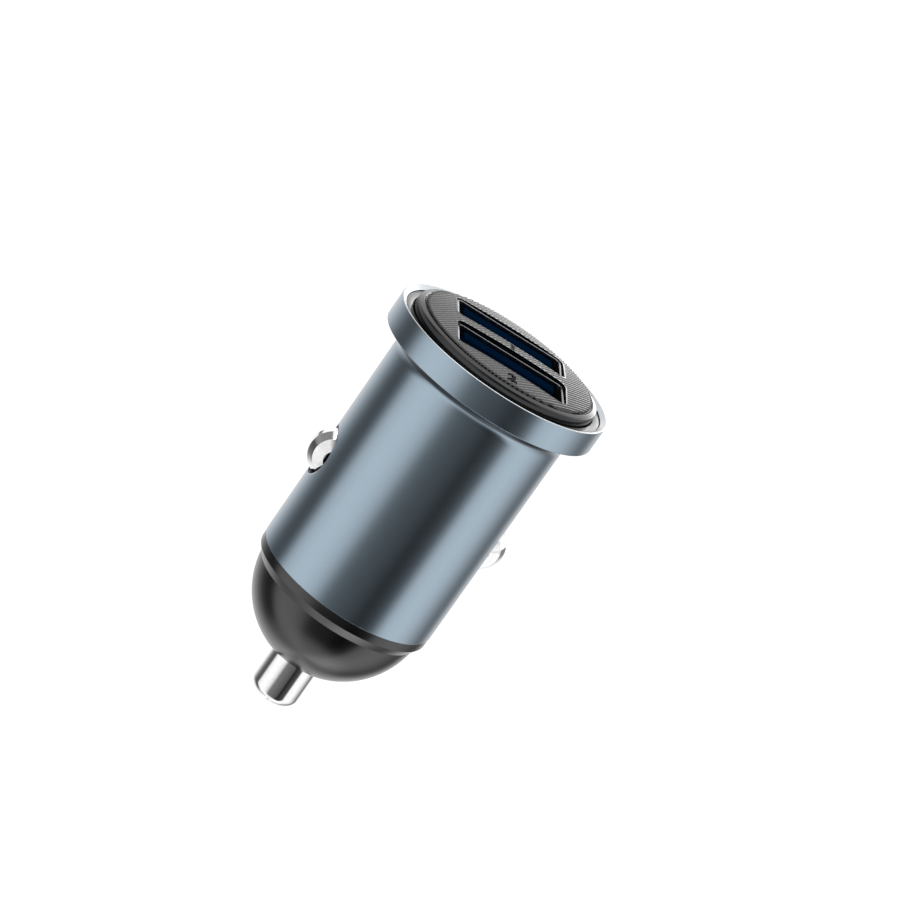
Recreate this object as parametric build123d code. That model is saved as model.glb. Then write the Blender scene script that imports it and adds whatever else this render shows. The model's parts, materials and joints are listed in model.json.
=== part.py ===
from build123d import *
import math
import os

# A two-port USB charger plug for a car's 12 V socket. Millimetres.
# +Z runs along the axis, towards the face with the ports. The origin is on the axis, in the
# plane of the flange's underside, which stops against the rim of the socket. X runs along the
# long sides of the ports and through the two side contacts.

# USB ports, type A
opening_width = 12.5
opening_height = 5.12
shell_wall = 0.3
shell_corner = 0.8
port_pitch = 8.2
port_depth = 14.0
mouth_recess = 0.5          # the shell's mouth below the crown of the face
cutout_clearance = 0.1
tongue_width = 11.1
tongue_thickness = 1.84
tongue_offset = 0.66        # from the shell's inner wall to the back of the tongue
tongue_recess = 0.25        # the tongue's end below the shell's mouth
block_depth = 3.85
block_clearance = 0.05
pin_strip_width = 1.0
pin_strip_thickness = 0.15
pin_strip_places = (-3.5, -1.0, 1.0, 3.5)
pin_strip_setback = 0.9     # from the tongue's end to the first metal
tail_drop = 0.8             # how far the tails run below the shell
shell_tab_width = 1.6

# Barrel and flange, one turned piece
port_bore_gap = 0.57        # between a port's outer corner and the bore
barrel_wall = 0.6
barrel_below_contacts = 11.25
barrel_end_bevel = 0.08
neck_fillet = 2.0
flange_height = 3.0
flange_bevel = 0.1
flange_floor = 1.2          # thickness of the flange under the face
rim_wall = 0.7
rim_slope_width = 0.5       # the rim slopes down to the light ring
rim_slope_drop = 0.35

# Light ring and face plate
light_ring_width = 0.95
light_ring_recess = 0.45    # below the top of the rim
light_foot_height = 0.6
light_leg_width = 2.0
light_leg_thickness = 1.0
light_leg_drop = 3.0        # below the flange's floor
fit_gap = 0.05              # glued or pressed plastic in metal
slip_gap = 0.1              # parts that slide together when the plug is put together
face_overhang = 0.6         # the face's radius past the barrel's
face_edge_round = 0.5
face_rise = 1.35            # the crown of the face above the rim
face_crown_radius = 95.0
face_step = 0.5             # the foot of the light ring reaches this far under the face
snap_leg_drop = 6.2
snap_leg_reach = 2.0        # inner edge of a snap leg, in from the bore
snap_leg_near = 1.6
snap_leg_far = 4.4

# Side contacts, one on each side
contact_below_ports = 5.6   # centre of a side contact below the bottom of the ports
contact_hole_radius = 2.9
contact_proud = 1.5
contact_sheet = 0.4
contact_outline = ((2.1, 1.1), (1.5, 2.25), (0.5, 2.8))   # (half width, radius): cheek, shoulder, crown
contact_foot_height = 7.0
contact_foot_width = 4.4
contact_foot_thickness = 0.5
contact_seat_inset = 1.4    # the flat that a foot stops against, in from the skirt's outside

# Nose, with the skirt that reaches up into the barrel
skirt_wall = 1.0
skirt_below_ports = 0.75
collar_inset = 0.05
collar_height = 1.0
step_height = 1.05
dome_inset = 0.7
dome_centre_drop = 0.1      # the dome's centre below the collar
dome_wall = 1.5
dome_flat_drop = 8.45       # from the dome's centre down to its flat end
nose_guide_length = 3.0
chamber_wall = 1.0
chamber_height = 4.9
mouth_bevel = 0.5

# Tip pin, drawn from sheet, with a spring inside
pin_radius = 2.75
pin_gap = 0.06
pin_sheet = 0.6
pin_out = 6.5               # how far the pin stands out of the nose
pin_end_rise = 1.7          # height of the rounded end, a half ellipse
pin_head_radius = 3.6
pin_head_thickness = 1.0

# Springs
tip_wire_radius = 0.22
tip_coil_gap = 0.2          # between the coil and the pin's bore
tip_turns = 6
side_wire_radius = 0.17
side_coil_radius = 1.1
side_turns = 4
side_coil_gap = 0.55        # between the coil's end and the inside of the crown

# Circuit board, standing on the axis between the ports
board_thickness = 1.6
board_end_gap = 0.9         # the board's foot above the barrel's end
board_gap = 0.3             # to the skirt and to the face plate
board_ear = 1.0
board_ear_height = 2.9
notch_depth = 2.4
notch_margin = 0.35
terminal_radius = 2.6
terminal_thickness = 0.5
terminal_lug_width = 1.6
clip_sheet = 0.3
clip_reach = 1.4
clip_height = 3.2
part_gap = 0.15             # between neighbouring parts on the board
inductor_side = 6.0
inductor_height = 4.0
inductor_corner = 1.2
inductor_well_outer = 2.16
inductor_well_inner = 1.62
inductor_well_depth = 1.0
small_can_radius = 2.5
small_can_length = 6.6
large_can_radius = 3.15
large_can_length = 6.6
can_groove = 0.25
can_base = 0.5
can_base_corner = 0.45      # as a share of the can's radius
chip_length = 4.9
chip_width = 3.9
chip_height = 1.5
chip_bevel = 0.22
chip_leg_reach = 1.0
chip_leg_pitch = 1.27
chip_leg_width = 0.4
chip_leg_thickness = 0.2
diode_length = 4.3
diode_width = 2.6
diode_height = 2.1
diode_bevel = 0.25
diode_leg_reach = 0.5
diode_leg_width = 1.56
fuse_length = 3.2
fuse_width = 1.6
fuse_height = 0.6
small_length = 1.6
small_width = 0.8
small_height = 0.5
ceramic_height = 0.7
small_pitch = 1.3
lamp_length = 1.6
lamp_width = 0.8
lamp_height = 0.6

# Worked-out sizes
shell_width = opening_width + 2 * shell_wall
shell_height = opening_height + 2 * shell_wall
port_reach_x = shell_width / 2 - shell_corner
port_reach_y = port_pitch / 2 + shell_height / 2 - shell_corner
bore_radius = math.hypot(port_reach_x, port_reach_y) + shell_corner + port_bore_gap
barrel_radius = bore_radius + barrel_wall
face_radius = barrel_radius + face_overhang
cup_radius = face_radius + light_ring_width
flange_radius = cup_radius + rim_wall

crown_top = flange_height + face_rise
ribbed_radius = face_radius - face_edge_round
crown_centre = crown_top - face_crown_radius
face_edge_top = crown_centre + math.sqrt(face_crown_radius**2 - ribbed_radius**2)
face_foot_radius = face_radius - face_step

port_mouth = crown_top - mouth_recess
port_bottom = port_mouth - port_depth
tail_bottom = port_bottom - tail_drop
contact_z = port_bottom - contact_below_ports
skirt_top = port_bottom - skirt_below_ports
barrel_bottom = contact_z - barrel_below_contacts

skirt_radius = bore_radius - slip_gap
skirt_bore = skirt_radius - skirt_wall
collar_bottom = barrel_bottom - collar_height
dome_radius = barrel_radius - dome_inset
dome_centre = collar_bottom - dome_centre_drop
nose_end = dome_centre - dome_flat_drop
guide_top = nose_end + nose_guide_length
pin_hole_radius = pin_radius + pin_gap
chamber_radius = pin_head_radius + slip_gap + pin_gap
pin_bore_radius = pin_radius - pin_sheet
pin_end = nose_end - pin_out
pin_seat = pin_end + pin_end_rise + pin_sheet

board_half_width = skirt_bore - board_gap
board_bottom = barrel_bottom + board_end_gap
board_top = flange_floor - board_gap
board_face = board_thickness / 2
notch_half_height = contact_foot_height / 2 + notch_margin
notch_edge = board_half_width - notch_depth
terminal_bottom = board_bottom - terminal_thickness
contact_seat = skirt_radius - contact_seat_inset
contact_crown = barrel_radius + contact_proud
contact_round = contact_outline[-1][1]
contact_centre = contact_crown - contact_round
light_leg_outer = bore_radius - slip_gap - slip_gap
light_leg_bottom = flange_floor - light_leg_drop


def block(x, y, z):
    """A box between two x, two y and two z values."""
    size = (x[1] - x[0], y[1] - y[0], z[1] - z[0])
    middle = Vector((x[0] + x[1]) / 2, (y[0] + y[1]) / 2, (z[0] + z[1]) / 2)
    return Pos(middle) * Box(*size)


def ring(outer, inner, low, high):
    """A plain ring round the axis."""
    return Pos(0, 0, low) * extrude(Circle(outer) - Circle(inner), high - low)


def disc(radius, low, high):
    """A plain disc round the axis."""
    return Pos(0, 0, low) * extrude(Circle(radius), high - low)


def turned(*edges):
    """A solid turned round the axis from edges in the XZ plane."""
    return revolve(make_face(list(edges)), Axis.Z)


def lines(*points):
    """Straight edges through (radius, height) points."""
    return Polyline(*[(r, 0, z) for r, z in points])


def arc(centre, radius, start, end):
    """An arc in the XZ plane, from one angle to another, in degrees from +X towards +Z."""
    points = []
    for angle in (start, (start + end) / 2, end):
        turn = math.radians(angle)
        points.append((centre[0] + radius * math.cos(turn), 0, centre[1] + radius * math.sin(turn)))
    return ThreePointArc(*points)


def two_sided(make):
    """The same thing on the left and on the right."""
    right = make()
    return right + mirror(right, about=Plane.YZ)


def contact_hole(radius, inner, outer):
    """A round bar across the axis, for the holes that the side contacts stand in."""
    bar = Pos(inner, 0, contact_z) * Rot(0, 90, 0) * extrude(Circle(radius), outer - inner)
    return bar + mirror(bar, about=Plane.YZ)


def make_barrel():
    neck = (barrel_radius + neck_fillet, -neck_fillet)
    outside = lines(
        (bore_radius, barrel_bottom),
        (barrel_radius - barrel_end_bevel, barrel_bottom),
        (barrel_radius, barrel_bottom + barrel_end_bevel),
        (barrel_radius, -neck_fillet),
    )
    rim = lines(
        (barrel_radius + neck_fillet, 0),
        (flange_radius - flange_bevel, 0),
        (flange_radius, flange_bevel),
        (flange_radius, flange_height - flange_bevel),
        (flange_radius - flange_bevel, flange_height),
        (cup_radius + rim_slope_width, flange_height),
        (cup_radius, flange_height - rim_slope_drop),
        (cup_radius, flange_floor),
        (bore_radius, flange_floor),
        (bore_radius, barrel_bottom),
    )
    body = turned(outside, arc(neck, neck_fillet, 180, 90), rim)
    return body - contact_hole(contact_hole_radius, barrel_radius / 2, 2 * barrel_radius)


def light_leg():
    """A light guide's bridge under the face and its leg down to the lamp."""
    y = (-light_leg_width / 2, light_leg_width / 2)
    inner = light_leg_outer - light_leg_thickness
    bridge = block((inner, face_foot_radius + slip_gap + light_ring_width / 2), y,
                   (flange_floor, flange_floor + light_foot_height))
    leg = block((inner, light_leg_outer), y, (light_leg_bottom, flange_floor))
    return bridge + leg


def make_light_ring():
    outer = cup_radius - fit_gap
    foot = ring(outer, face_foot_radius + slip_gap, flange_floor, flange_floor + light_foot_height)
    upright = ring(outer, face_radius + fit_gap, flange_floor + light_foot_height,
                   flange_height - light_ring_recess)
    return foot + upright + two_sided(light_leg)


def port_centre(number):
    """Port 1 is on the +Y side, port 2 on the -Y side."""
    return port_pitch / 2 if number == 1 else -port_pitch / 2


def port_outline(number, grow):
    """A port's rounded outline, grown by the same amount all round."""
    outline = RectangleRounded(shell_width + 2 * grow, shell_height + 2 * grow, shell_corner + grow)
    return Pos(0, port_centre(number)) * outline


def snap_leg():
    """Legs of the face plate that hold it in the bore, on one side."""
    z = (flange_floor - snap_leg_drop, flange_floor)
    x = (bore_radius - snap_leg_reach, bore_radius)
    front = block(x, (-snap_leg_far, -snap_leg_near), z)
    back = block(x, (snap_leg_near, snap_leg_far), z)
    return (front + back) & disc(bore_radius - slip_gap, *z)


def light_leg_room():
    """Room under the face plate for a light guide's bridge and leg."""
    half = light_leg_width / 2 + slip_gap
    inner = light_leg_outer - light_leg_thickness - slip_gap
    return block((inner, face_radius), (-half, half), (flange_floor, flange_floor + light_foot_height))


def make_face_plate():
    foot_top = flange_floor + light_foot_height
    crown_angle = math.degrees(math.asin(ribbed_radius / face_crown_radius))
    edge = (ribbed_radius, face_edge_top - face_edge_round)
    side = lines(
        (face_radius, face_edge_top - face_edge_round),
        (face_radius, foot_top),
        (face_foot_radius, foot_top),
        (face_foot_radius, flange_floor),
        (0, flange_floor),
        (0, crown_top),
    )
    crown = arc((0, crown_centre), face_crown_radius, 90, 90 - crown_angle)
    plate = turned(crown, arc(edge, face_edge_round, 90, 0), side)
    for number in (1, 2):
        hole = extrude(port_outline(number, cutout_clearance), crown_top + 1)
        plate -= hole
    return plate - two_sided(light_leg_room) + two_sided(snap_leg)


def make_port_shell(number):
    outline = port_outline(number, 0) - port_outline(number, -shell_wall)
    tube = Pos(0, 0, port_bottom) * extrude(outline, port_depth)
    side = 1 if number == 1 else -1
    inner_face = port_centre(number) - side * shell_height / 2
    y = sorted((side * board_face, inner_face + side * shell_corner))
    x = (shell_width / 2 - shell_wall, shell_width / 2)
    for z in (port_bottom + shell_tab_width, port_bottom + port_depth / 2):
        tab = block(x, y, (z, z + shell_tab_width))
        tube += tab + mirror(tab, about=Plane.YZ)
    return tube


def tongue_face(number):
    """The height in Y of the tongue's side that carries the metal."""
    return port_centre(number) + opening_height / 2 - tongue_offset - tongue_thickness


def make_port_contacts(number):
    """Four metal strips that lie on the tongue and turn towards the board at their ends."""
    side = 1 if number == 1 else -1
    face = tongue_face(number)
    top = port_mouth - tongue_recess - pin_strip_setback
    strips = Part()
    for place in pin_strip_places:
        x = (place - pin_strip_width / 2, place + pin_strip_width / 2)
        strip = block(x, (face - pin_strip_thickness, face), (tail_bottom, top))
        tail_y = sorted((side * board_face, face - pin_strip_thickness * (1 + side) / 2))
        strips += strip + block(x, tail_y, (tail_bottom, tail_bottom + pin_strip_thickness))
    return strips


def make_port_tongue(number):
    """The plastic block at the back of a port, with its tongue."""
    block_outline = port_outline(number, -shell_wall - block_clearance)
    back = Pos(0, 0, port_bottom) * extrude(block_outline, block_depth)
    face = tongue_face(number)
    tongue = block((-tongue_width / 2, tongue_width / 2), (face, face + tongue_thickness),
                   (port_bottom, port_mouth - tongue_recess))
    return back + tongue - make_port_contacts(number)


def board_outline():
    """The board's right half, as (x, z) points."""
    ear_top = light_leg_bottom - board_gap
    ear_bottom = ear_top - board_ear_height
    ear = board_half_width + board_ear
    return [
        (0, board_top), (board_half_width, board_top), (board_half_width, ear_top),
        (ear, ear_top), (ear, ear_bottom), (board_half_width, ear_bottom),
        (board_half_width, skirt_top + notch_margin), (notch_edge, skirt_top + notch_margin),
        (notch_edge, contact_z - notch_half_height),
        (board_half_width, contact_z - notch_half_height),
        (board_half_width, board_bottom), (0, board_bottom),
    ]


def make_circuit_board():
    right = board_outline()
    left = [(-x, z) for x, z in reversed(right[1:-1])]
    face = make_face(lines(*right, *left, right[0]))
    return Pos(0, board_face, 0) * extrude(face, board_thickness, dir=(0, -1, 0))


def make_input_terminal():
    """The plate at the board's foot that the tip spring presses on."""
    plate = disc(terminal_radius, terminal_bottom, board_bottom)
    y = (board_face, board_face + clip_sheet)
    x = (-terminal_lug_width / 2, terminal_lug_width / 2)
    lug = block(x, y, (board_bottom, board_bottom + clip_reach))
    return plate + lug + mirror(lug, about=Plane.XZ)


def make_ground_clip():
    """A clip soldered over the board's edge, where a side contact's spring presses."""
    z = (contact_z - clip_height / 2, contact_z + clip_height / 2)
    reach = board_face + clip_sheet
    outside = block((notch_edge - clip_reach, notch_edge + clip_sheet), (-reach, reach), z)
    return outside - block((0, notch_edge), (-board_face, board_face), z)


def make_inductor():
    x_middle = -inductor_side / 2 + small_can_radius - 2 * part_gap
    z_middle = tail_bottom - part_gap - inductor_side / 2
    body = Box(inductor_side, inductor_side, inductor_height)
    body = chamfer(body.edges().filter_by(Axis.Z), inductor_corner)
    well_floor = inductor_height / 2 - inductor_well_depth
    body -= ring(inductor_well_outer, inductor_well_inner, well_floor, inductor_height)
    return Pos(x_middle, board_face + inductor_height / 2, z_middle) * Rot(-90, 0, 0) * body


def make_can(radius, length, x, side):
    """An electrolytic capacitor lying along the board, with its crimped groove and its base."""
    low = board_bottom + part_gap
    groove = low + can_base + can_groove * 3
    body = lines(
        (0, low + can_base), (radius, low + can_base), (radius, groove - can_groove),
        (radius - can_groove, groove), (radius, groove + can_groove), (radius, low + length),
        (0, low + length), (0, low + can_base),
    )
    base = block((-radius, radius), (-radius, radius), (low, low + can_base))
    base = chamfer(base.edges().filter_by(Axis.Z), radius * can_base_corner)
    return Pos(x, side * (board_face + radius), 0) * (turned(body) + base)


def chip_middle():
    """Where the control chip sits on the board, as x and z."""
    return -part_gap, tail_bottom - part_gap - chip_width / 2 - chip_leg_reach


def make_control_chip():
    x, z = chip_middle()
    foot = chip_leg_thickness
    body = block((-chip_length / 2, chip_length / 2), (-chip_width / 2, chip_width / 2),
                 (foot, chip_height))
    body = chamfer(body.edges().group_by(Axis.Z)[-1], chip_bevel)
    reach = chip_width / 2 + chip_leg_reach
    for index in range(4):
        place = (index - 1.5) * chip_leg_pitch
        x_span = (place - chip_leg_width / 2, place + chip_leg_width / 2)
        body += block(x_span, (-reach, reach), (0, foot))
    return Pos(x, -board_face, z) * Rot(90, 0, 0) * body


def make_rectifier_diode():
    z_top = chip_middle()[1] - chip_width / 2 - chip_leg_reach - part_gap
    x = large_can_radius - diode_length - diode_leg_reach - 2 * part_gap
    body = block((-diode_length / 2, diode_length / 2), (-diode_width, 0), (0, diode_height))
    body = chamfer(body.edges().group_by(Axis.Z)[-1], diode_bevel)
    reach = diode_length / 2 + diode_leg_reach
    leg_y = (-(diode_width + diode_leg_width) / 2, -(diode_width - diode_leg_width) / 2)
    body += block((-reach, reach), leg_y, (0, chip_leg_thickness))
    return Pos(x, -board_face, z_top) * Rot(90, 0, 0) * body


def chip_part(length, width, height, x, z, side):
    """A small block part with two metal ends, standing on one face of the board."""
    y = sorted((side * board_face, side * (board_face + height)))
    return block((x - length / 2, x + length / 2), y, (z - width / 2, z + width / 2))


def make_input_fuse():
    z = board_bottom + part_gap + fuse_width / 2
    x = -fuse_length / 2 - 2 * part_gap
    return chip_part(fuse_length, fuse_width, fuse_height, x - large_can_radius / 2, z, -1)


def small_part_place(column):
    """The x of a column of small parts, counted outwards from the terminal's lug."""
    first = -terminal_lug_width / 2 - part_gap - small_length / 2
    return first - column * (small_length + 2 * part_gap)


def make_board_resistors():
    """Six small resistors in two columns beside the small capacitor."""
    group = Part()
    for column in range(2):
        for row in range(3):
            x = small_part_place(column)
            z = board_bottom + small_width + row * small_pitch
            group += chip_part(small_length, small_width, small_height, x, z, 1)
    return group


def make_ceramic_capacitors():
    """Three small capacitors further out on the same face as the resistors."""
    group = Part()
    for row in range(3):
        x = small_part_place(2)
        z = board_bottom + small_width + row * small_pitch
        group += chip_part(small_length, small_width, ceramic_height, x, z, 1)
    return group


def indicator_lamp():
    """One lamp on a board's ear, right under the light guide's leg."""
    top = light_leg_bottom - board_gap - part_gap
    outer = light_leg_outer - part_gap
    return block((outer - lamp_width, outer), (board_face, board_face + lamp_height),
                 (top - lamp_length, top))


def make_nose_cone():
    """The collar, the dome and the skirt in the barrel, moulded as one piece."""
    flat_radius = math.sqrt(dome_radius**2 - dome_flat_drop**2)
    step_bottom = collar_bottom - step_height
    step_radius = math.sqrt(dome_radius**2 - (dome_centre - step_bottom)**2)
    dome_start = -math.degrees(math.asin((dome_centre - step_bottom) / dome_radius))
    dome_end = -math.degrees(math.acos(flat_radius / dome_radius))
    inner_radius = dome_radius - dome_wall
    outside = lines(
        (skirt_bore, skirt_top), (skirt_radius, skirt_top), (skirt_radius, barrel_bottom),
        (barrel_radius - collar_inset, barrel_bottom), (barrel_radius - collar_inset, collar_bottom),
        (step_radius, step_bottom),
    )
    foot = lines(
        (flat_radius, nose_end), (pin_hole_radius + mouth_bevel, nose_end),
        (pin_hole_radius, nose_end + mouth_bevel), (pin_hole_radius, guide_top),
        (chamber_radius, guide_top), (chamber_radius, guide_top + chamber_height),
        (chamber_radius + chamber_wall, guide_top + chamber_height),
    )
    inner_foot = dome_centre - math.sqrt(inner_radius**2 - (chamber_radius + chamber_wall)**2)
    inner_end = -math.degrees(math.acos((chamber_radius + chamber_wall) / inner_radius))
    inner_wall = lines((chamber_radius + chamber_wall, guide_top + chamber_height),
                       (chamber_radius + chamber_wall, inner_foot))
    inside = lines((inner_radius, dome_centre), (inner_radius, board_bottom),
                   (skirt_bore, board_bottom), (skirt_bore, skirt_top))
    body = turned(outside, arc((0, dome_centre), dome_radius, dome_start, dome_end), foot,
                  inner_wall, arc((0, dome_centre), inner_radius, inner_end, 0), inside)
    half = contact_foot_height / 2 + notch_margin
    pad = block((contact_seat, skirt_radius), (-contact_foot_width, contact_foot_width),
                (contact_z - half, skirt_top))
    pad &= disc(skirt_radius - skirt_wall / 2, contact_z - half, skirt_top)
    body += pad + mirror(pad, about=Plane.YZ)
    return body - contact_hole(contact_hole_radius, 0, 2 * barrel_radius)


def make_tip_pin():
    """A drawn cup with a rounded end, open at the head for the spring."""
    head_top = guide_top + pin_head_thickness
    outside = lines(
        (pin_radius, pin_end + pin_end_rise), (pin_radius, guide_top), (pin_head_radius, guide_top),
        (pin_head_radius, head_top), (pin_bore_radius, head_top),
        (pin_bore_radius, pin_seat), (0, pin_seat), (0, pin_end),
    )
    centre = (0, pin_end + pin_end_rise)
    rounded_end = EllipticalCenterArc(centre, pin_radius, pin_end_rise, start_angle=270, arc_size=90)
    return turned(Plane.XZ * rounded_end, outside)


def coil(radius, wire, low, high, turns):
    """A helical spring round the axis whose wire stays between two heights."""
    height = high - low - 2 * wire
    path = Helix(pitch=height / turns, height=height, radius=radius)
    section = Plane(origin=path @ 0, z_dir=path % 0) * Circle(wire)
    return Pos(0, 0, low + wire) * sweep(section, path=path, is_frenet=True)


def make_tip_spring():
    radius = pin_bore_radius - tip_coil_gap - tip_wire_radius
    return coil(radius, tip_wire_radius, pin_seat, terminal_bottom, tip_turns)


def lug(outline, back):
    """A lug whose outline is carried from x = back to the crown's centre and half round it there."""
    left = [(-y, r) for y, r in outline]
    right = [(y, r) for y, r in reversed(outline)]
    upper = [(contact_centre, y, contact_z + r) for y, r in left + right]
    lower = [(contact_centre, y, contact_z - r) for y, r in reversed(left + right)]
    widest = outline[0][0]
    feet = [(contact_centre, widest, contact_z), (contact_centre, -widest, contact_z)]
    half = make_face(Polyline(*upper, *feet, upper[0]))
    crown = revolve(half, Axis((contact_centre, 0, contact_z), (0, 1, 0)), 180)
    section = make_face(Polyline(*upper, *lower, upper[0]))
    return crown + extrude(section, contact_centre - back, dir=(-1, 0, 0))


def make_side_contact():
    """The right side contact: a pressed cup with sloping cheeks and a foot behind the skirt."""
    foot_x = (contact_seat - contact_foot_thickness, contact_seat)
    foot = block(foot_x, (-contact_foot_width / 2, contact_foot_width / 2),
                 (contact_z - contact_foot_height / 2, contact_z + contact_foot_height / 2))
    inside = []
    for half_width, radius in contact_outline:
        share = 1 - contact_sheet / math.hypot(half_width, radius)
        inside.append((half_width * share, radius * share))
    return lug(contact_outline, foot_x[0]) + foot - lug(inside, 0)


def make_side_spring():
    """The spring behind the right side contact, between the clip and the cup's crown."""
    low = notch_edge + clip_sheet
    high = contact_crown - contact_sheet - side_coil_gap
    spring = coil(side_coil_radius, side_wire_radius, low, high, side_turns)
    return Pos(0, 0, contact_z) * Rot(0, 90, 0) * spring


def all_nodes():
    """Every separate piece, by name."""
    nodes = {
        "barrel": make_barrel(),
        "light_ring": make_light_ring(),
        "face_plate": make_face_plate(),
        "circuit_board": make_circuit_board(),
        "input_terminal": make_input_terminal(),
        "inductor": make_inductor(),
        "output_capacitor": make_can(small_can_radius, small_can_length, small_can_radius, 1),
        "input_capacitor": make_can(large_can_radius, large_can_length, large_can_radius - part_gap, -1),
        "control_chip": make_control_chip(),
        "rectifier_diode": make_rectifier_diode(),
        "input_fuse": make_input_fuse(),
        "board_resistors": make_board_resistors(),
        "ceramic_capacitors": make_ceramic_capacitors(),
        "indicator_lamps": two_sided(indicator_lamp),
        "nose_cone": make_nose_cone(),
        "tip_pin": make_tip_pin(),
        "tip_spring": make_tip_spring(),
    }
    for number in (1, 2):
        nodes[f"port_shell_{number}"] = make_port_shell(number)
        nodes[f"port_tongue_{number}"] = make_port_tongue(number)
        nodes[f"port_contacts_{number}"] = make_port_contacts(number)
    pairs = {
        "side_contact": make_side_contact(),
        "contact_spring": make_side_spring(),
        "ground_clip": make_ground_clip(),
    }
    for name, right in pairs.items():
        nodes[f"{name}_right"] = right
        nodes[f"{name}_left"] = mirror(right, about=Plane.YZ)
    return nodes


os.makedirs("parts", exist_ok=True)
for node_name, solid in all_nodes().items():
    export_step(solid, f"parts/{node_name}.step")
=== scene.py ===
import json
import math

import bmesh
import bpy
import numpy as np
from mathutils import Matrix, Vector


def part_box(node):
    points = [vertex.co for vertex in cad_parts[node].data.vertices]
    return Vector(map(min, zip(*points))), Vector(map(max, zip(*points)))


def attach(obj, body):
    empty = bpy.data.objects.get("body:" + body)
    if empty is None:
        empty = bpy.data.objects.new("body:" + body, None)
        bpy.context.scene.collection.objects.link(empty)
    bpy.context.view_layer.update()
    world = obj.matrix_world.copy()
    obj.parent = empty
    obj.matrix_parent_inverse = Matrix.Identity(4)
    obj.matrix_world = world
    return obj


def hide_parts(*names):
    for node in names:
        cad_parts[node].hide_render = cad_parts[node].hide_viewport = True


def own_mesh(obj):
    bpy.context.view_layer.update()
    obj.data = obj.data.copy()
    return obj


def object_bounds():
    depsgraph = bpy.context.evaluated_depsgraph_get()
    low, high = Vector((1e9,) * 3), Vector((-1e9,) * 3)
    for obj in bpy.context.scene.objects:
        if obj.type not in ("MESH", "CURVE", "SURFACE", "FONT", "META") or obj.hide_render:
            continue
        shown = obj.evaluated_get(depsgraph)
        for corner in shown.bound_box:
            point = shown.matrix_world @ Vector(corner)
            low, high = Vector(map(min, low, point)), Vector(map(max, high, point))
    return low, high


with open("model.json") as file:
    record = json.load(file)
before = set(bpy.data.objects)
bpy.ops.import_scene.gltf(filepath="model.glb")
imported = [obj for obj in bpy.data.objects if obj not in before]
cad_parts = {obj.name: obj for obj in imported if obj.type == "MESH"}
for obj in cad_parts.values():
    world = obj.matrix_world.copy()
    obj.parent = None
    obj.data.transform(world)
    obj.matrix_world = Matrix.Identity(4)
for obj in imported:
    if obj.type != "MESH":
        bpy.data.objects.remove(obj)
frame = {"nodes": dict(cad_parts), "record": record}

cadLow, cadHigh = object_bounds()
mm = 0.001

# The camera stands where the photograph was taken from, rolled so that the plug leans over
camera = {
    "aim": (0.058, -3.374, -7.625),   # mm
    "azimuth": -11.82,                # degrees, as seen from above
    "elevation": 17.196,
    "roll": 34.97,
    "distance": 404.53,               # mm
    "lens": 156.53,
    "sensor": 36.0,
}


def makeCamera():
    # back points from the aim to the camera, by azimuth and elevation, and the roll turns right and up
    # about it
    turn, lift = math.radians(camera["azimuth"]), math.radians(camera["elevation"])
    roll = math.radians(camera["roll"])
    back = Vector((math.sin(turn) * math.cos(lift), -math.cos(turn) * math.cos(lift), math.sin(lift)))
    level = Vector((math.cos(turn), math.sin(turn), 0))
    upright = back.cross(level)
    right = level * math.cos(roll) + upright * math.sin(roll)
    up = back.cross(right)
    data = bpy.data.cameras.new("camera")
    data.lens = camera["lens"]
    data.sensor_width = camera["sensor"]
    data.clip_start, data.clip_end = 0.01, 20
    data.dof.use_dof = False
    item = bpy.data.objects.new("camera", data)
    spot = (Vector(camera["aim"]) + back * camera["distance"]) * mm
    facing = Matrix((right, up, back)).transposed().to_4x4()
    item.matrix_world = Matrix.Translation(spot) @ facing
    bpy.context.scene.collection.objects.link(item)
    bpy.context.scene.camera = item


makeCamera()
print("camera ready")


# Nodes and colours

def linear(hexCode):
    # sRGB hex to linear, channel by channel
    channels = [int(hexCode[i:i + 2], 16) / 255 for i in (1, 3, 5)]
    return tuple(c / 12.92 if c <= 0.04045 else ((c + 0.055) / 1.055) ** 2.4 for c in channels) + (1,)


def addNode(tree, kind, values=None, links=None, stops=None, **settings):
    # one node: settings are its properties, values its sockets, links what feeds them, stops a ramp's
    node = tree.nodes.new(kind)
    for name, value in settings.items():
        setattr(node, name, value)
    for name, value in (values or {}).items():
        node.inputs[name].default_value = value
    for name, source in (links or {}).items():
        tree.links.new(source, node.inputs[name])
    if stops:
        ramp = node.color_ramp
        while len(ramp.elements) < len(stops):
            ramp.elements.new(0.5)
        for element, (position, colour) in zip(ramp.elements, stops):
            element.position = position
            element.color = colour if isinstance(colour, tuple) else (colour, colour, colour, 1)
    return node


def newMaterial(name, values):
    material = bpy.data.materials.new(name)
    material.use_nodes = True
    tree = material.node_tree
    tree.nodes.clear()
    place = addNode(tree, "ShaderNodeTexCoord").outputs["Object"]
    shader = addNode(tree, "ShaderNodeBsdfPrincipled", values)
    addNode(tree, "ShaderNodeOutputMaterial", links={"Surface": shader.outputs["BSDF"]})
    return material, tree, place, shader


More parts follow.
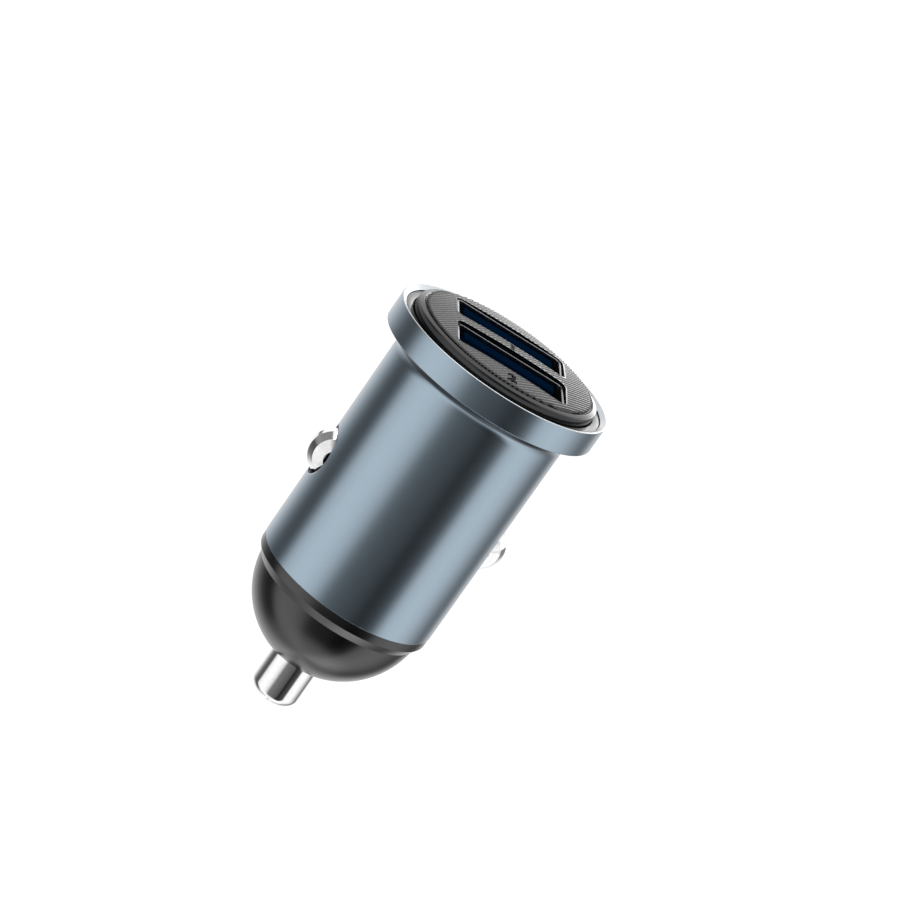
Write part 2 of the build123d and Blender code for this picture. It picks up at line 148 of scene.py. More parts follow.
def addGrain(tree, place, shader, grain, colours, roughness, relief):
    # a fine grain, in mm, that shifts the colour and the roughness a little and lifts the surface by the
    # relief, in mm
    noise = addNode(tree, "ShaderNodeTexNoise", {"Scale": 1 / (grain * mm), "Detail": 3, "Roughness": 0.55},
                    {"Vector": place})
    colour = addNode(tree, "ShaderNodeValToRGB", links={"Fac": noise.outputs["Fac"]},
                     stops=[(0.35, linear(colours[0])), (0.65, linear(colours[1]))])
    limits = {"From Min": 0.3, "From Max": 0.7, "To Min": roughness[0], "To Max": roughness[1]}
    rough = addNode(tree, "ShaderNodeMapRange", limits, {"Value": noise.outputs["Fac"]})
    bump = addNode(tree, "ShaderNodeBump", {"Strength": 1.0, "Distance": relief * mm},
                   {"Height": noise.outputs["Fac"]})
    tree.links.new(colour.outputs["Color"], shader.inputs["Base Color"])
    tree.links.new(rough.outputs["Result"], shader.inputs["Roughness"])
    tree.links.new(bump.outputs["Normal"], shader.inputs["Normal"])


# Materials

anodised = {   # mm
    "hollowShade": (-2.5, 0.0),   # the heights between which a painted shade, a dark line under the flange, is drawn
    "bore": 10.385,          # painted shade darkens the bore and the walls of its holes inside this radius
    "cutRadius": 12.53, "slopeHeight": 2.62, "topHeight": 2.94,   # what of the rim is cut bright
}


def anodisedAluminium():
    # turned, bead blasted and anodised slate blue: soft wide highlights over an even fine grain; a painted
    # shade, a dark line in the hollow under the flange, and a painted shade darkening the bore; and a rim cut
    # bright with a diamond after the dye
    material, tree, place, shader = newMaterial("anodised aluminium, bead blasted",
                                                {"Metallic": 1.0, "Specular Tint": (1.0, 0.97, 0.96, 1)})
    addGrain(tree, place, shader, 0.12, ("#9fb0bd", "#a1b2bf"), (0.24, 0.27), 0.0001)
    grain = shader.inputs["Base Color"].links[0].from_socket
    height = addNode(tree, "ShaderNodeSeparateXYZ", links={"Vector": place})
    # painted shade: the base colour is darkened in a band of heights in the hollow under the flange
    low, high = anodised["hollowShade"]
    share = addNode(tree, "ShaderNodeMapRange", {"From Min": low * mm, "From Max": high * mm},
                    {"Value": height.outputs["Z"]})
    hollowShade = addNode(tree, "ShaderNodeValToRGB", links={"Fac": share.outputs["Result"]},
                     stops=[(0.5, 1.0), (0.62, 0.14), (0.9, 0.14), (0.97, 1.0)])
    shaded = addNode(tree, "ShaderNodeMix", {"Factor": 1.0}, {"A": grain, "B": hollowShade.outputs["Color"]},
                     data_type="RGBA", blend_type="MULTIPLY")
    flat = addNode(tree, "ShaderNodeVectorMath", {1: (1, 1, 0)}, {0: place}, operation="MULTIPLY")
    radius = addNode(tree, "ShaderNodeVectorMath", links={0: flat.outputs["Vector"]}, operation="LENGTH")
    past = {}
    for limit, source in (("bore", radius.outputs["Value"]), ("cutRadius", radius.outputs["Value"]),
                          ("slopeHeight", height.outputs["Z"]), ("topHeight", height.outputs["Z"])):
        mark = addNode(tree, "ShaderNodeMath", {1: anodised[limit] * mm}, {0: source},
                       operation="GREATER_THAN")
        past[limit] = mark.outputs[0]
    within = addNode(tree, "ShaderNodeMath", {0: 1.0}, {1: past["cutRadius"]}, operation="SUBTRACT")
    slope = addNode(tree, "ShaderNodeMath", links={0: within.outputs[0], 1: past["slopeHeight"]},
                    operation="MULTIPLY")
    cut = addNode(tree, "ShaderNodeMath", links={0: slope.outputs[0], 1: past["topHeight"]},
                  operation="MAXIMUM")
    # painted shade: inside the bore radius the base colour is near black
    boreShade = addNode(tree, "ShaderNodeMix", {"A": linear("#08090a")}, {"B": shaded.outputs["Result"],
                                                                    "Factor": past["bore"]},
                   data_type="RGBA")
    bright = addNode(tree, "ShaderNodeMix", {"B": linear("#c6cbcf")}, {"A": boreShade.outputs["Result"],
                                                                      "Factor": cut.outputs[0]},
                     data_type="RGBA")
    tree.links.new(bright.outputs["Result"], shader.inputs["Base Color"])
    return material


def glossyPolycarbonate():
    # moulded black polycarbonate with fine ribs: dark body, sharp sheen at low angles
    material, tree, place, shader = newMaterial("polycarbonate, moulded gloss black",
                                                {"IOR": 1.58, "Specular IOR Level": 0.42})
    addGrain(tree, place, shader, 0.3, ("#070707", "#0b0b0b"), (0.14, 0.18), 0.0006)
    return material


def smokedPolycarbonate():
    # moulded light guide in smoked polycarbonate: dark when off, with a smooth sheen at low angles
    material, tree, place, shader = newMaterial("polycarbonate, smoked light guide", {"IOR": 1.58})
    addGrain(tree, place, shader, 0.5, ("#161615", "#1b1b1a"), (0.16, 0.2), 0.0005)
    return material


def satinPolycarbonate():
    # moulded black polycarbonate nose: spark-eroded mould, an even satin
    material, tree, place, shader = newMaterial("polycarbonate, moulded satin black",
                                                {"IOR": 1.58, "Specular IOR Level": 0.75})
    addGrain(tree, place, shader, 0.12, ("#020202", "#040404"), (0.2, 0.24), 0.0005)
    return material


def nickelPlate():
    # bright nickel over drawn and stamped brass: a near mirror with faint polishing marks
    material, tree, place, shader = newMaterial("nickel plate, polished", {"Metallic": 1.0})
    addGrain(tree, place, shader, 0.35, ("#eeeeee", "#f6f6f6"), (0.04, 0.08), 0.0003)
    return material


def tinnedSteel():
    # folded steel shell, tin plated: greyish mirror with soft streaks from rolling
    material, tree, place, shader = newMaterial("steel, folded and tin plated", {"Metallic": 1.0})
    addGrain(tree, place, shader, 0.25, ("#74777b", "#828589"), (0.2, 0.3), 0.001)
    return material


def insulatorPlastic():
    # glass filled nylon of the port blocks: near black with a blue cast, dull satin
    material, tree, place, shader = newMaterial("nylon, glass filled, moulded",
                                                {"IOR": 1.53, "Specular IOR Level": 0.0})
    addGrain(tree, place, shader, 0.15, ("#011023", "#021429"), (0.7, 0.8), 0.002)
    return material


def goldFlash():
    # gold flash on phosphor bronze strip
    material, tree, place, shader = newMaterial("gold flash on bronze strip", {"Metallic": 1.0})
    addGrain(tree, place, shader, 0.2, ("#d9a94a", "#e6bd68"), (0.15, 0.24), 0.0008)
    return material


def boardLaminate():
    # glass cloth laminate under green solder mask: the weave shows faintly through the gloss, and is drawn
    # with a wave of 3.1 mm, coarser than the cloth's threads, 0.5 mm apart
    material, tree, place, shader = newMaterial("glass cloth laminate, solder mask", {"IOR": 1.52})
    addGrain(tree, place, shader, 0.4, ("#0e3f25", "#14512f"), (0.22, 0.3), 0.001)
    waveScale = 1 / (0.5 * mm) / 20   # at a scale of 1 a wave is 2 pi / 20 long
    weave = addNode(tree, "ShaderNodeTexWave", {"Scale": waveScale, "Distortion": 0.4},
                    {"Vector": place}, bands_direction="X")
    cross = addNode(tree, "ShaderNodeTexWave", {"Scale": waveScale, "Distortion": 0.4},
                    {"Vector": place}, bands_direction="Z")
    both = addNode(tree, "ShaderNodeMath", links={0: weave.outputs["Fac"], 1: cross.outputs["Fac"]},
                   operation="MULTIPLY")
    bump = addNode(tree, "ShaderNodeBump", {"Strength": 1.0, "Distance": 0.004 * mm},
                   {"Height": both.outputs[0]})
    tree.links.new(bump.outputs["Normal"], shader.inputs["Normal"])
    return material


def tinnedBrass():
    # pressed brass, hand soldered: tin over warm metal
    material, tree, place, shader = newMaterial("brass, pressed and tinned", {"Metallic": 1.0})
    addGrain(tree, place, shader, 0.3, ("#c2b27a", "#cfc8b0"), (0.22, 0.34), 0.002)
    return material


def ferriteCore():
    # sintered ferrite, tumbled: charcoal, dull, with small chips
    material, tree, place, shader = newMaterial("ferrite, sintered", {"IOR": 1.9})
    addGrain(tree, place, shader, 0.18, ("#2a2a2b", "#3b3a39"), (0.5, 0.7), 0.008)
    return material


def capacitorCan():
    # drawn aluminium can, bare
    material, tree, place, shader = newMaterial("aluminium can, drawn", {"Metallic": 1.0})
    addGrain(tree, place, shader, 0.4, ("#b4b8bb", "#c6c9cb"), (0.24, 0.34), 0.001)
    return material


def epoxyBody():
    # transfer moulded epoxy, black with silica filler: flat and slightly grey
    material, tree, place, shader = newMaterial("epoxy, transfer moulded", {"IOR": 1.55})
    addGrain(tree, place, shader, 0.1, ("#151516", "#202021"), (0.5, 0.62), 0.003)
    return material


def ceramicBody():
    # fired ceramic chips, glazed
    material, tree, place, shader = newMaterial("ceramic chip, fired", {"IOR": 1.7})
    addGrain(tree, place, shader, 0.12, ("#7d6a55", "#93806a"), (0.35, 0.45), 0.002)
    return material


def lampResin():
    # clear resin over a pale lamp chip
    material, tree, place, shader = newMaterial("lamp resin, cast", {"IOR": 1.54, "Coat Weight": 0.5})
    addGrain(tree, place, shader, 0.3, ("#e4e0c8", "#f0ecd8"), (0.2, 0.28), 0.001)
    return material


def springSteel():
    # cold drawn steel wire, coiled and nickel flashed: bright with drawing marks
    material, tree, place, shader = newMaterial("spring steel wire, drawn", {"Metallic": 1.0})
    addGrain(tree, place, shader, 0.15, ("#b0b0ae", "#c4c4c2"), (0.14, 0.22), 0.001)
    return material


def numeralPaint():
    # pad printed numerals: a matt black ink over the ribs
    material, tree, place, shader = newMaterial("ink, pad printed matt black",
                                                {"IOR": 1.5, "Specular IOR Level": 0.05})
    addGrain(tree, place, shader, 0.3, ("#050505", "#090909"), (0.6, 0.7), 0.001)
    return material


finishes = {
    "anodised_aluminium": anodisedAluminium(),
    "light_guide_plastic": smokedPolycarbonate(),
    "face_plastic": glossyPolycarbonate(),
    "port_steel": tinnedSteel(),
    "port_insulator": insulatorPlastic(),
    "gold_contact": goldFlash(),
    "board_laminate": boardLaminate(),
    "terminal_brass": tinnedBrass(),
    "ferrite": ferriteCore(),
    "capacitor_can": capacitorCan(),
    "chip_epoxy": epoxyBody(),
    "ceramic_body": ceramicBody(),
    "lamp_resin": lampResin(),
    "nose_plastic": satinPolycarbonate(),
    "pin_plating": nickelPlate(),
    "spring_steel": springSteel(),
    "contact_plating": nickelPlate(),
}
numerals = numeralPaint()
print("materials ready:", len(finishes) + 1)


# Surfaces on a grid

mergeGap = 0.0001   # mm, points nearer than this become one


def patch(points, closeRows=False, closeColumns=False):
    return {"points": np.asarray(points, float), "closeRows": closeRows, "closeColumns": closeColumns}


def gridFaces(rows, columns, closeRows, closeColumns):
    # each cell of the grid is a quad between a row and the next, a column and the next
    i = np.arange(rows if closeRows else rows - 1)[:, None]
    j = np.arange(columns if closeColumns else columns - 1)[None, :]
    iNext, jNext = (i + 1) % rows, (j + 1) % columns
    corners = [i * columns + j, iNext * columns + j, iNext * columns + jNext, i * columns + jNext]
    return np.stack([np.broadcast_to(c, (i.size, j.size)) for c in corners], -1).reshape(-1, 4)


def makePiece(name, patches, slot, body, nodes, sharp=35, fill=False):
    # joins the patches, in mm, closes them where they meet, turns the faces outwards and hangs the piece
    # on its body
    points, faces, count = [], [], 0
    for item in patches:
        rows, columns = item["points"].shape[:2]
        points.append(item["points"].reshape(-1, 3) * mm)
        faces.append(gridFaces(rows, columns, item["closeRows"], item["closeColumns"]) + count)
        count += rows * columns
    points, faces = np.concatenate(points), np.concatenate(faces)
    mesh = bpy.data.meshes.new(name)
    mesh.vertices.add(len(points))
    mesh.vertices.foreach_set("co", points.astype(np.float32).ravel())
    mesh.loops.add(faces.size)
    mesh.loops.foreach_set("vertex_index", faces.astype(np.int32).ravel())
    mesh.polygons.add(len(faces))
    mesh.polygons.foreach_set("loop_start", np.arange(0, faces.size, 4, dtype=np.int32))
    mesh.update(calc_edges=True)
    work = bmesh.new()
    work.from_mesh(mesh)
    bmesh.ops.remove_doubles(work, verts=work.verts, dist=mergeGap * mm)
    bmesh.ops.dissolve_degenerate(work, edges=work.edges, dist=mergeGap * mm)
    if fill:
        bmesh.ops.triangle_fill(work, edges=[e for e in work.edges if e.is_boundary], use_beauty=True)
    bmesh.ops.recalc_face_normals(work, faces=work.faces)
    openEdges = sum(e.is_boundary for e in work.edges)
    if openEdges:
        print("open edges in", name, openEdges)
    work.to_mesh(mesh)
    work.free()
    return hangPiece(name, mesh, finishes[slot], body, nodes, sharp)


def hangPiece(name, mesh, material, body, nodes, sharp):
    mesh.materials.clear()
    mesh.materials.append(material)
    mesh.polygons.foreach_set("use_smooth", np.ones(len(mesh.polygons), bool))
    mesh.set_sharp_from_angle(angle=math.radians(sharp))
    item = bpy.data.objects.new(name, mesh)
    bpy.context.scene.collection.objects.link(item)
    weighted = item.modifiers.new("even shading", "WEIGHTED_NORMAL")
    weighted.keep_sharp = True
    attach(item, body)
    if nodes:
        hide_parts(*nodes)
    return item


def arcPoints(centre, radius, start, end, steps):
    # an arc: the centre plus the radius times cosine and sine of even angles, in degrees
    turn = np.radians(np.linspace(start, end, steps + 1))
    return np.column_stack([centre[0] + radius * np.cos(turn), centre[1] + radius * np.sin(turn)])


def softPath(corners, steps=5):
    # straight sides through (radius, height, round) corners, each corner an arc tangent to its two sides
    pieces = []
    for index, (x, z, rounding) in enumerate(corners):
        here = np.array([x, z])
        if not rounding or index in (0, len(corners) - 1):
            pieces.append(here[None])
            continue
        before = np.array(corners[index - 1][:2]) - here
        after = np.array(corners[index + 1][:2]) - here
        before, after = before / np.linalg.norm(before), after / np.linalg.norm(after)
        half = math.acos(np.clip(before @ after, -1, 1)) / 2
        middle = (before + after) / np.linalg.norm(before + after)
        centre = here + middle * rounding / math.sin(half)
        reach = rounding / math.tan(half)
        first, last = here + before * reach - centre, here + after * reach - centre
        start, end = math.atan2(first[1], first[0]), math.atan2(last[1], last[0])
        sweep = (end - start + math.pi) % (2 * math.pi) - math.pi
        pieces.append(arcPoints(centre, rounding, math.degrees(start), math.degrees(start + sweep), steps))
    return np.concatenate(pieces)


def turned(path, angles):
    # a path of (radius, height) points carried round the axis through the angles
    radius, height = path[:, 0][:, None], path[:, 1][:, None]
    return np.stack([radius * np.cos(angles), radius * np.sin(angles),
                     np.broadcast_to(height, (len(path), len(angles)))], -1)


def roundedRectangle(halfX, halfY, corner, steps=8):
    # a rectangle whose corners are arcs, as (x, y) points anticlockwise
    corner = max(corner, 1e-6)
    quarters = []
    for index, (sx, sy) in enumerate(((1, 1), (-1, 1), (-1, -1), (1, -1))):
        centre = (sx * (halfX - corner), sy * (halfY - corner))
        quarters.append(arcPoints(centre, corner, 90 * index, 90 * index + 90, steps))
    return np.concatenate(quarters)


def lofted(levels, centre=(0, 0), steps=8):
    # rounded rectangles (half x, half y, corner, height) joined level by level
    rings = []
    for halfX, halfY, corner, height in levels:
        outline = roundedRectangle(halfX, halfY, corner, steps) + np.array(centre)
        rings.append(np.column_stack([outline, np.full(len(outline), height)]))
    return np.stack(rings)


def roundedBlock(low, high, rounding):
    # a block with all its edges rounded: insets and heights follow a quarter circle at each end
    half = (np.array(high) - np.array(low)) / 2
    middle = (np.array(high) + np.array(low)) / 2
    turn = np.linspace(0, math.pi / 2, 5)
    inset, rise = rounding * (1 - np.sin(turn)), rounding * (1 - np.cos(turn))
    levels = [(0, 0, 0, low[2])]
    for i, z in zip(inset, low[2] + rise):
        levels.append((half[0] - i, half[1] - i, rounding, z))
    for i, z in zip(inset[::-1], high[2] - rise[::-1]):
        levels.append((half[0] - i, half[1] - i, rounding, z))
    levels.append((0, 0, 0, high[2]))
    return patch(lofted(levels, middle[:2], 4), closeColumns=True)


# Sizes read from the frame

def boxOf(node):
    low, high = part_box(node)
    return np.array(low) / mm, np.array(high) / mm


barrelLow, barrelHigh = boxOf("barrel")
faceHigh = boxOf("face_plate")[1]
ringLow, ringHigh = boxOf("light_ring")
noseLow, noseHigh = boxOf("nose_cone")
pinLow, pinHigh = boxOf("tip_pin")
shellLow, shellHigh = boxOf("port_shell_1")
contactLow, contactHigh = boxOf("side_contact_right")
tipSpringLow, tipSpringHigh = boxOf("tip_spring")
sideSpringLow, sideSpringHigh = boxOf("contact_spring_right")
flangeTop = barrelHigh[2]
contactZ = (contactLow[2] + contactHigh[2]) / 2
portY = (shellLow[1] + shellHigh[1]) / 2

# a hole's square patch is twice holeHalf segments wide and twice holeBand, in mm, high
around = {"segments": 288, "holeHalf": 18, "holeRows": 28, "holeBand": 4.0, "holeRings": 9}
aroundAngles = np.linspace(0, 2 * math.pi, around["segments"], endpoint=False)


def holedBand(outer, inner, hole, bevel, seat=None):
    # the stretch of a tube that has a round hole on each side: a plain grid between the holes, and round
    # each hole rings that pass evenly from a circle to the edge of a square patch on the cylinder
    low, high = contactZ - around["holeBand"], contactZ + around["holeBand"]
    heights = np.linspace(low, high, around["holeRows"] + 1)
    segments, half = around["segments"], around["holeHalf"]
    patches = []
    for start in (half, segments // 2 + half):
        angles = aroundAngles[start:start + segments // 2 - 2 * half + 1]
        if len(angles) < segments // 2 - 2 * half + 1:
            angles = np.append(angles, 2 * math.pi - 2 * math.pi * half / segments)
        for radius in (outer, inner):
            wall = np.column_stack([np.full(len(heights), radius), heights])
            patches.append(patch(turned(wall, angles)))
    side = np.arange(-half, half + 1) * 2 * math.pi / segments
    rim = np.concatenate([
        np.column_stack([side[:-1], np.full(2 * half, low)]),
        np.column_stack([np.full(len(heights) - 1, side[-1]), heights[:-1]]),
        np.column_stack([side[:0:-1], np.full(2 * half, high)]),
        np.column_stack([np.full(len(heights) - 1, side[0]), heights[:0:-1]]),
    ])
    share = np.linspace(1, 0, around["holeRings"])[:, None]
    rows = []
    for radius, size, order in ((outer, hole + bevel, 1), (inner, hole, -1)):
        across, up = radius * np.sin(rim[:, 0]), rim[:, 1] - contactZ
        turn = np.arctan2(up, across)
        y = share * across + (1 - share) * size * np.cos(turn)
        z = share * up + (1 - share) * size * np.sin(turn)
        x = np.sqrt(radius ** 2 - y ** 2)
        if seat is not None and radius == inner:
            x[1:] = np.minimum(x[1:], seat)
        rings = np.stack([x, y, z + contactZ], -1)
        rows.append(rings[::order])
        if radius == outer:
            lip = np.stack([np.sqrt(outer ** 2 - (hole * np.cos(turn)) ** 2) - bevel, hole * np.cos(turn),
                            hole * np.sin(turn) + contactZ], -1)
            rows.append(lip[None])
    right = np.concatenate(rows)
    left = right * np.array([-1, 1, 1])
    return patches + [patch(right, closeColumns=True), patch(left, closeColumns=True)]


# Barrel

barrel = {
    "radius": 10.397, "bore": 9.797, "neckFillet": 2.0, "floor": 1.2, "cup": 12.0,
    "slopeWidth": 0.48, "slopeDrop": 0.35, "edge": 0.08, "endRound": 0.05, "hole": 2.9, "holeBevel": 0.1,
}


def makeBarrel():
    # outlines of radius and height carried round the axis, above and below a band with the two holes; the
    # neck under the flange is a quarter circle
    radius, bore, bottom = barrel["radius"], barrel["bore"], barrelLow[2]
    flange, cup, edge = barrelHigh[0], barrel["cup"], barrel["edge"]
    low, high = contactZ - around["holeBand"], contactZ + around["holeBand"]
    fillet = barrel["neckFillet"]
    neck = arcPoints((radius + fillet, -fillet), fillet, 180, 90, 24)
    rim = softPath([
        (radius + fillet, 0, 0), (flange, 0, edge), (flange, flangeTop, edge),
        (cup + barrel["slopeWidth"], flangeTop, edge), (cup, flangeTop - barrel["slopeDrop"], 0.04),
        (cup, barrel["floor"], 0), (bore, barrel["floor"], 0.1), (bore, high, 0),
    ], 5)
    upper = np.concatenate([[(radius, high)], neck, rim[1:]])
    lower = softPath([
        (bore, low, 0), (bore, bottom, 0.05), (radius, bottom, barrel["endRound"]), (radius, low, 0),
    ], 4)
    patches = [patch(turned(upper, aroundAngles), closeColumns=True),
               patch(turned(lower, aroundAngles), closeColumns=True)]
    patches += holedBand(radius, bore, barrel["hole"], barrel["holeBevel"])
    return makePiece("barrelShell", patches, "anodised_aluminium", "housing", ["barrel"], sharp=50)


# Light ring

lightRing = {"inner": 11.13, "gap": 0.05, "footInner": 10.597, "footTop": 1.8, "edge": 0.06,
             "legInner": 8.597, "legOuter": 9.597, "legHalf": 1.0, "legLap": 0.3, "legRound": 0.08}


def makeLightRing():
    # a closed outline of radius and height carried round the axis, and on each side a leg and its bridge
    outer, top, low = barrel["cup"] - lightRing["gap"], ringHigh[2], barrel["floor"]
    foot, inner, edge = lightRing["footInner"], lightRing["inner"], lightRing["edge"]
    path = softPath([
        (foot, low, 0), (outer, low, 0.03), (outer, top, edge), (inner, top, edge),
        (inner, lightRing["footTop"], 0.05), (foot, lightRing["footTop"], 0.03), (foot, low, 0),
    ], 3)[:-1]
    patches = [patch(turned(path, aroundAngles), closeRows=True, closeColumns=True)]
    half, lap, rounding = lightRing["legHalf"], lightRing["legLap"], lightRing["legRound"]
    for side in (-1, 1):
        x = sorted((side * lightRing["legInner"], side * lightRing["legOuter"]))
        patches.append(roundedBlock((x[0], -half, ringLow[2]), (x[1], half, low + lap), rounding))
        x = sorted((side * lightRing["legInner"], side * (foot + lap)))
        patches.append(roundedBlock((x[0], -half, low), (x[1], half, lightRing["footTop"]), rounding))
    return makePiece("lightGuideRing", patches, "light_guide_plastic", "housing", ["light_ring"])


# Face plate

face = {
    "crownRadius": 95.0, "ribCrown": 112.0, "ribbed": 10.2, "valleyDepth": 0.26, "valleyWidth": 0.05,
    "lip": 10.43, "lipDrop": 0.09, "lipSlope": 0.17, "lipRound": 0.05, "edgeRound": 0.15,
    "foot": 10.497, "footTop": 1.8,
    "ribStep": 0.61, "ribDepth": 0.07, "endDepth": 0.2, "endLength": 0.35, "frame": 0.14,
    "slope": 1.12, "bend": 0.018, "rows": {"far": 44, "port": 56, "bridge": 50},
    "cutX": 6.65, "cutY": 2.96, "cutCorner": 0.9, "cornerPoints": 14, "cell": 0.075, "sideCell": 0.097,
    "legX": 8.2, "legY": 3.0, "legHalfX": 0.4, "legHalfY": 1.35, "legDrop": 6.2, "legRound": 0.1,
}


def crownHeight(x, y, radius):
    # the crown is a sphere of a large radius, its top at the highest point of the face plate
    return faceHigh[2] - radius + np.sqrt(radius ** 2 - x ** 2 - y ** 2)


def faceHeight(x, y):
    # the valleys between the ribs are a raised cosine, to the power of 1.5, across a bent family of lines,
    # y = slope x - bend x squared + a step each; they fade into a plain frame round each port, where the
    # distance to a rounded rectangle gives the share, and near the edge of the field they deepen by a smooth
    # step of the radius
    line = (y - face["slope"] * x + face["bend"] * x ** 2) / face["ribStep"]
    valley = 0.5 - 0.5 * np.cos(2 * math.pi * line)
    corner = face["cutCorner"]
    across = np.abs(x) - face["cutX"] + corner
    along = np.abs(np.abs(y) - portY) - face["cutY"] + corner
    outside = np.hypot(np.maximum(across, 0), np.maximum(along, 0))
    outside += np.minimum(np.maximum(across, along), 0)
    share = np.clip((outside - corner) / face["frame"] - 0.5, 0, 1)
    near = np.clip((np.hypot(x, y) - face["ribbed"]) / face["endLength"] + 1, 0, 1)
    near = near ** 2 * (3 - 2 * near)
    depth = face["ribDepth"] * share ** 2 * (3 - 2 * share) + face["endDepth"] * near
    return crownHeight(x, y, face["ribCrown"]) - depth * valley ** 1.5


def cutHalf(x):
    # half the height of a port's cut-out at x: straight, then the quarter circle of its corner
    into = np.clip(np.abs(x) - face["cutX"] + face["cutCorner"], 0, face["cutCorner"])
    return face["cutY"] - face["cutCorner"] + np.sqrt(np.maximum(face["cutCorner"] ** 2 - into ** 2, 0))


def ribbedPatches():
    # the ribbed field as bands between the rim, the cut-outs and the bridge, all in even cells
    cell, cutX, corner, reach = face["cell"], face["cutX"], face["cutCorner"], face["ribbed"]
    straight = cutX - corner
    bend = straight + corner * np.sin(np.linspace(0, math.pi / 2, face["cornerPoints"]))
    middle = np.linspace(-straight, straight, int(2 * straight / cell) + 1)
    xMiddle = np.concatenate([-bend[:0:-1], middle, bend[1:]])
    start = math.asin(cutX / reach)
    count = int((math.pi / 2 - start) * reach / face["sideCell"])
    xSide = reach * np.sin(np.linspace(start, math.pi / 2, count))
    rimMiddle, rimSide = np.sqrt(reach ** 2 - xMiddle ** 2), np.sqrt(np.maximum(reach ** 2 - xSide ** 2, 0))
    cut = cutHalf(xMiddle)
    share = {name: np.linspace(0, 1, rows)[:, None] for name, rows in face["rows"].items()}
    bands = []
    for low, high, name in ((-rimMiddle, -portY - cut, "far"), (cut - portY, portY - cut, "bridge"),
                            (portY + cut, rimMiddle, "far")):
        bands.append(((1 - share[name]) * low + share[name] * high, xMiddle))
    edgeCut, edgeRim = face["cutY"] - corner, rimMiddle[0]
    marks = [-edgeRim, -portY - edgeCut, edgeCut - portY, portY - edgeCut, portY + edgeCut, edgeRim]
    for index, name in enumerate(("far", "port", "bridge", "port", "far")):
        rows = ((1 - share[name]) * marks[index] + share[name] * marks[index + 1]) / edgeRim
        for side in (-1, 1):
            bands.append((rows * rimSide, side * xSide))
    patches = []
    for y, x in bands:
        x = np.broadcast_to(x, y.shape)
        patches.append(patch(np.stack([x, y, faceHeight(x, y)], -1)))
    xRim = np.concatenate([-xSide[:0:-1], xMiddle, xSide[1:]])
    portRows = share["port"][:, 0] * 2 * edgeCut - edgeCut
    return patches, xRim, xMiddle, portRows


def makeFacePlate():
    # the ribbed field, an outline of radius and height carried round the axis for its outer wall, a
    # straight wall down each cut-out, a filled flat underside, and four legs as rounded blocks
    patches, xRim, xMiddle, portRows = ribbedPatches()
    reach, bottom = face["ribbed"], barrel["floor"]
    rimHigh = np.arctan2(np.sqrt(np.maximum(reach ** 2 - xRim ** 2, 0)), xRim)
    angles = np.concatenate([rimHigh, -rimHigh[-2:0:-1]])
    ends = np.stack([reach * np.cos(angles), reach * np.sin(angles)], -1)
    top = np.column_stack([ends, faceHeight(ends[:, 0], ends[:, 1])])
    crown, lip, outer = face["crownRadius"], face["lip"], faceHigh[0]
    valley = crownHeight(reach, 0, crown) - face["valleyDepth"]
    path = softPath([
        (reach, valley, 0), (reach + face["valleyWidth"], valley, 0.02),
        (lip, crownHeight(lip, 0, crown) - face["lipDrop"], face["lipRound"]),
        (outer, crownHeight(outer, 0, crown) - face["lipSlope"], face["edgeRound"]),
        (outer, face["footTop"], 0.05),
        (face["foot"], face["footTop"], 0.03), (face["foot"], bottom, 0),
    ], 5)
    walls = turned(path, angles)
    patches.append(patch(np.concatenate([top[None], walls]), closeColumns=True))
    cut = cutHalf(xMiddle)
    sideX = np.full(len(portRows) - 2, face["cutX"])
    for side in (-1, 1):
        x = np.concatenate([xMiddle, sideX, xMiddle[::-1], -sideX])
        y = side * portY + np.concatenate([cut, portRows[-2:0:-1], -cut[::-1], portRows[1:-1]])
        wall = np.stack([np.column_stack([x, y, faceHeight(x, y)]),
                         np.column_stack([x, y, np.full(len(x), bottom)])])
        patches.append(patch(wall, closeColumns=True))
    plate = makePiece("facePlate", patches, "face_plastic", "housing", ["face_plate"], sharp=60, fill=True)
    legs = []
    for sx in (-1, 1):
        for sy in (-1, 1):
            middle = np.array([sx * face["legX"], sy * face["legY"]])
            half = np.array([face["legHalfX"], face["legHalfY"]])
            low, high = (*(middle - half), bottom - face["legDrop"]), (*(middle + half), bottom)
            legs.append(roundedBlock(low, high, face["legRound"]))
    makePiece("faceSnapLegs", legs, "face_plastic", "housing", [])
    return plate


numeral = {"size": 2.1, "halfThickness": 0.05, "sunk": 0.02, "bold": 0.09,
           "places": {"1": (0.0, 0.0), "2": (0.0, -8.55)}}


def makeNumeral(text, place):
    # a plain number, made a mesh and laid on the crown: its height is the crown's at each point, less what
    # it is sunk by, and nowhere above the top of the face
    curve = bpy.data.curves.new("numeral" + text, "FONT")
    curve.body = text
    curve.size = numeral["size"] * mm
    curve.align_x, curve.align_y = "CENTER", "CENTER"
    curve.extrude = numeral["halfThickness"] * mm
    curve.offset = numeral["bold"] * mm
    curve.resolution_u = 8
    holder = bpy.data.objects.new("holder", curve)
    bpy.context.scene.collection.objects.link(holder)
    bpy.context.view_layer.update()
    mesh = bpy.data.meshes.new_from_object(holder)
    bpy.data.objects.remove(holder)
    points = np.zeros(len(mesh.vertices) * 3, np.float32)
    mesh.vertices.foreach_get("co", points)
    points = points.reshape(-1, 3).astype(float)
    middle = (points.min(0) + points.max(0)) / 2
    points[:, :2] += np.array(place) * mm - middle[:2]
    crown = crownHeight(points[:, 0] / mm, points[:, 1] / mm, face["ribCrown"])
    points[:, 2] += (crown - numeral["sunk"]) * mm
    points[:, 2] = np.minimum(points[:, 2], faceHigh[2] * mm)
    mesh.vertices.foreach_set("co", points.astype(np.float32).ravel())
    mesh.update()
    return hangPiece("numeral" + text, mesh, numerals, "housing", [], 30)


# Ports

port = {"wall": 0.3, "corner": 0.8, "mouthRound": 0.1, "blockRound": 0.3,
        "blockDepth": 3.85, "blockGap": 0.05, "tongueHalf": 5.55, "tongueThickness": 1.84,
        "tongueOffset": 0.66, "tongueRecess": 0.25, "tongueRound": 0.18}


